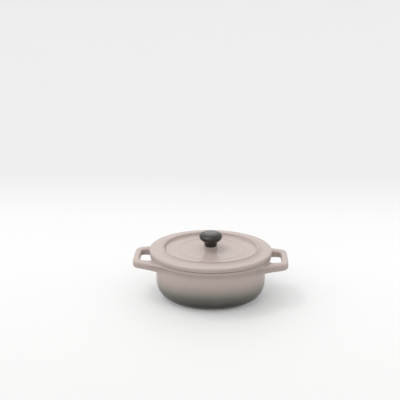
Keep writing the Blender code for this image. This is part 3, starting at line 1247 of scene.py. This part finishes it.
@dataclass
class PanScrew(Piece):
    """The screw inside the lid: a pan head with a cross recess, and a threaded shank."""

    node: str = "knob_screw"
    finishes: Finishes = (STEEL,)
    shank: float = 2.0 * MM
    head_height: float = 2.8 * MM
    head_rounding: float = 1.4 * MM
    head_edge: float = 0.15 * MM
    tip_chamfer: float = 0.5 * MM
    plain: float = 1.2 * MM
    recess_length: float = 4.2 * MM
    recess_width: float = 1.0 * MM
    recess_depth: float = 1.7 * MM
    recess_taper: float = 0.45
    thread: Thread = Thread()

    def build(self) -> Item:
        """Model the screw from its tip down to its head, then sink the recess.

        Returns:
            The finished screw.
        """
        low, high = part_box(self.node)
        head_top = low.z + self.head_height
        thread_top = high.z - self.tip_chamfer
        head = rounded(
            (self.shank, head_top + self.plain, 0.0),
            (self.shank, head_top, self.head_edge),
            (high.x, head_top, self.head_edge),
            (high.x, low.z, self.head_rounding),
            (high.x / 3, low.z, 0.0),
        )
        tip = Ring.round(self.shank - self.tip_chamfer, high.z)
        shank = self.thread.rings(self.shank, thread_top, head_top + self.plain)
        rings = [tip, *shank, *Ring.turned(head[1:])]
        bench = Bench("pan_screw", rings, ROUND_SIDES, Ends.CAPPED)
        self.thread.cut(bench, self.shank, head_top + 2 * self.plain, thread_top, -1.0)
        item = bench.smooth(levels=1, sharp=True)
        for turn in (0.0, math.pi / 2):
            self.sink_recess(item, low.z, turn)
        return item

    def sink_recess(self, item: Item, face: float, turn: float) -> None:
        """Cut one arm of the cross recess into the head.

        Args:
            item: The screw.
            face: Height of the head's face.
            turn: Direction of the arm.
        """
        pick()
        bpy.ops.mesh.primitive_cube_add(size=1.0)
        arm = bpy.context.object
        bpy.ops.object.mode_set(mode="EDIT")
        bpy.ops.transform.resize(value=(self.recess_length, self.recess_width, 2 * self.recess_depth))
        bpy.ops.transform.rotate(value=turn, orient_axis="Z", center_override=(0.0, 0.0, 0.0))
        bpy.ops.transform.translate(value=(0.0, 0.0, face))
        bpy.ops.mesh.select_all(action="DESELECT")
        mesh = bmesh.from_edit_mesh(arm.data)
        for side in mesh.faces:
            side.select = side.normal.z > UPWARD
        bmesh.update_edit_mesh(arm.data)
        inner = (self.recess_taper, self.recess_taper, 1.0)
        bpy.ops.transform.resize(value=inner, center_override=(0.0, 0.0, face + self.recess_depth))
        apply_modifier(item, "BOOLEAN", operation="DIFFERENCE", object=arm)
        bpy.data.objects.remove(arm)


@dataclass
class Washer(Piece):
    """The plain washer under the screw's head, with the soft edges of a stamping."""

    node: str = "screw_washer"
    finishes: Finishes = (WASHER_STEEL,)
    hole: float = 2.3 * MM
    edge: float = 0.15 * MM

    def build(self) -> Item:
        """Model the washer, from its hole out along the underside and back over its top.

        Returns:
            The finished washer.
        """
        low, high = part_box(self.node)
        middle = (low.z + high.z) / 2
        section = rounded(
            (self.hole, middle, 0.0),
            (self.hole, low.z, self.edge),
            (high.x, low.z, self.edge),
            (high.x, high.z, self.edge),
            (self.hole, high.z, self.edge),
            (self.hole, middle, 0.0),
        )
        bench = Bench("flat_washer", Ring.turned(section[:-1]), ROUND_SIDES, Ends.JOINED)
        return bench.smooth(levels=1, sharp=True)


@dataclass(frozen=True)
class SoftLight:
    """A soft far light: where it shines from, how bright it is, and how closely it is gathered."""

    aim: Triple
    brightness: float
    focus: float

    def level(self, graph: Graph, direction: Shade) -> Shade:
        """Brightness of the light in a direction.

        Args:
            graph: Graph of the world.
            direction: Direction looked in.

        Returns:
            The brightness there.
        """
        aim = tuple(Vector(self.aim).normalized())
        towards = graph.node(
            "ShaderNodeVectorMath", {"operation": "DOT_PRODUCT"}, {0: direction, 1: aim}, "Value"
        )
        return graph.math("EXPONENT", (towards - 1.0) * self.focus) * self.brightness


@dataclass
class Studio:
    """Pale sweep, soft light from above and the left, and the camera."""

    floor_radius: float = 4.0
    wall_height: float = 0.5
    sweep_radius: float = 0.4
    sweep_sides: int = 96
    sweep_steps: int = 16
    # Paper tone along Y, brightest near the cocotte as a painted pool of light.
    paper_tone_and_light_pool: Stops = (
        (-0.3, (0.575, 0.575, 0.565)),
        (0.08, (0.64, 0.64, 0.64)),
        (0.2, (0.62, 0.62, 0.62)),
        (0.37, (0.54, 0.532, 0.536)),
    )
    paper_glow: float = 0.18
    paper_roughness: float = 0.9
    far_tone: float = 0.86
    far_rise: Point = (0.16, 0.34)
    room_light: float = 0.2
    lights: tuple[SoftLight, ...] = (
        SoftLight((-0.32, -0.22, 0.92), 0.86, 2.8),
        SoftLight((-0.32, -0.22, 0.92), 0.6, 6.0),
        SoftLight((-0.36, 0.0, 0.93), 9.0, 120.0),
        SoftLight((-0.08, 0.9, 0.39), 1.0, 4.5),
        SoftLight((-0.9, -0.1, 0.4), 0.55, 4.0),
        SoftLight((0.9, -0.1, 0.4), 0.65, 4.0),
        SoftLight((-0.1, -0.9, 0.4), 0.15, 4.0),
    )
    camera_place: Triple = (15.32 * MM, -626.98 * MM, 345.16 * MM)
    camera_turn: Triple = (68.85, 0.0, 2.36)
    lens: float = 63.12
    sensor: float = 36.0
    clip_start: float = 0.01

    def sweep(self) -> None:
        """Model the round floor that curves up into a low wall."""
        pick()
        bpy.ops.mesh.primitive_circle_add(
            vertices=self.sweep_sides, radius=self.floor_radius, fill_type="NGON"
        )
        item = bpy.context.object
        item.name = "studio_sweep"
        bpy.ops.object.mode_set(mode="EDIT")
        self.select_border(item)
        bpy.ops.mesh.extrude_edges_move(TRANSFORM_OT_translate={"value": (0.0, 0.0, self.wall_height)})
        self.select_border(item)
        bpy.ops.mesh.bevel(offset=self.sweep_radius, segments=self.sweep_steps, affect="EDGES")
        pick(item)
        bpy.ops.object.shade_smooth()
        pick()
        # Painted light: the paper's tone is brightest near the cocotte, a painted pool of light, and
        # darker towards the front and back.
        graph = Graph(bpy.data.materials.new("studio_paper"))
        graph.surface(
            base_color=graph.ramp(graph.axis("Y"), self.paper_tone_and_light_pool),
            roughness=self.paper_roughness,
            specular_ior_level=0.0,
            emission_color=graph.seen() * self.paper_glow,
            emission_strength=1.0,
        )
        item.data.materials.append(graph.owner)

    def select_border(self, item: Item) -> None:
        """Select the edges along which the floor meets its wall.

        Args:
            item: The sweep.
        """
        bpy.ops.mesh.select_all(action="DESELECT")
        bpy.ops.mesh.select_mode(type="EDGE")
        mesh = bmesh.from_edit_mesh(item.data)
        for edge in mesh.edges:
            edge.select = all(vert.co.z < MM for vert in edge.verts)
        bmesh.update_edit_mesh(item.data)

    def light(self) -> None:
        """Surround the sweep with soft light, brightest overhead, behind and on the left."""
        world = bpy.data.worlds.new("studio_light")
        bpy.context.scene.world = world
        graph = Graph(world)
        direction = graph.node("ShaderNodeTexCoord", out="Generated")
        level = sum((light.level(graph, direction) for light in self.lights), start=self.room_light)
        haze = graph.seen() * (1.0 - graph.axis("Z", direction).between(*self.far_rise))
        graph.surface(color=(1.0, 1.0, 1.0), strength=level + (self.far_tone - level) * haze)

    def camera(self) -> None:
        """Set the camera at the photograph's viewing angle."""
        pick()
        turn = tuple(math.radians(angle) for angle in self.camera_turn)
        bpy.ops.object.camera_add(location=self.camera_place, rotation=turn)
        item = bpy.context.object
        item.data.sensor_fit = "HORIZONTAL"
        item.data.sensor_width = self.sensor
        item.data.lens = self.lens
        item.data.clip_start = self.clip_start
        bpy.context.scene.camera = item

    def build(self) -> None:
        """Set up the whole studio."""
        self.sweep()
        self.light()
        self.camera()
        bpy.context.scene.view_settings.view_transform = "Standard"


def main() -> None:
    """Build every piece and the studio round it."""
    logging.basicConfig(level=logging.INFO, format="%(name)s: %(message)s")
    Studio().build()
    for maker in (PotCasting(), LidCasting(), Knob(), ThreadedInsert(), PanScrew(), Washer()):
        item = maker.build()
        maker.dress(item)
        settle(item, maker.body, maker.node)


if __name__ == "__main__":
    main()
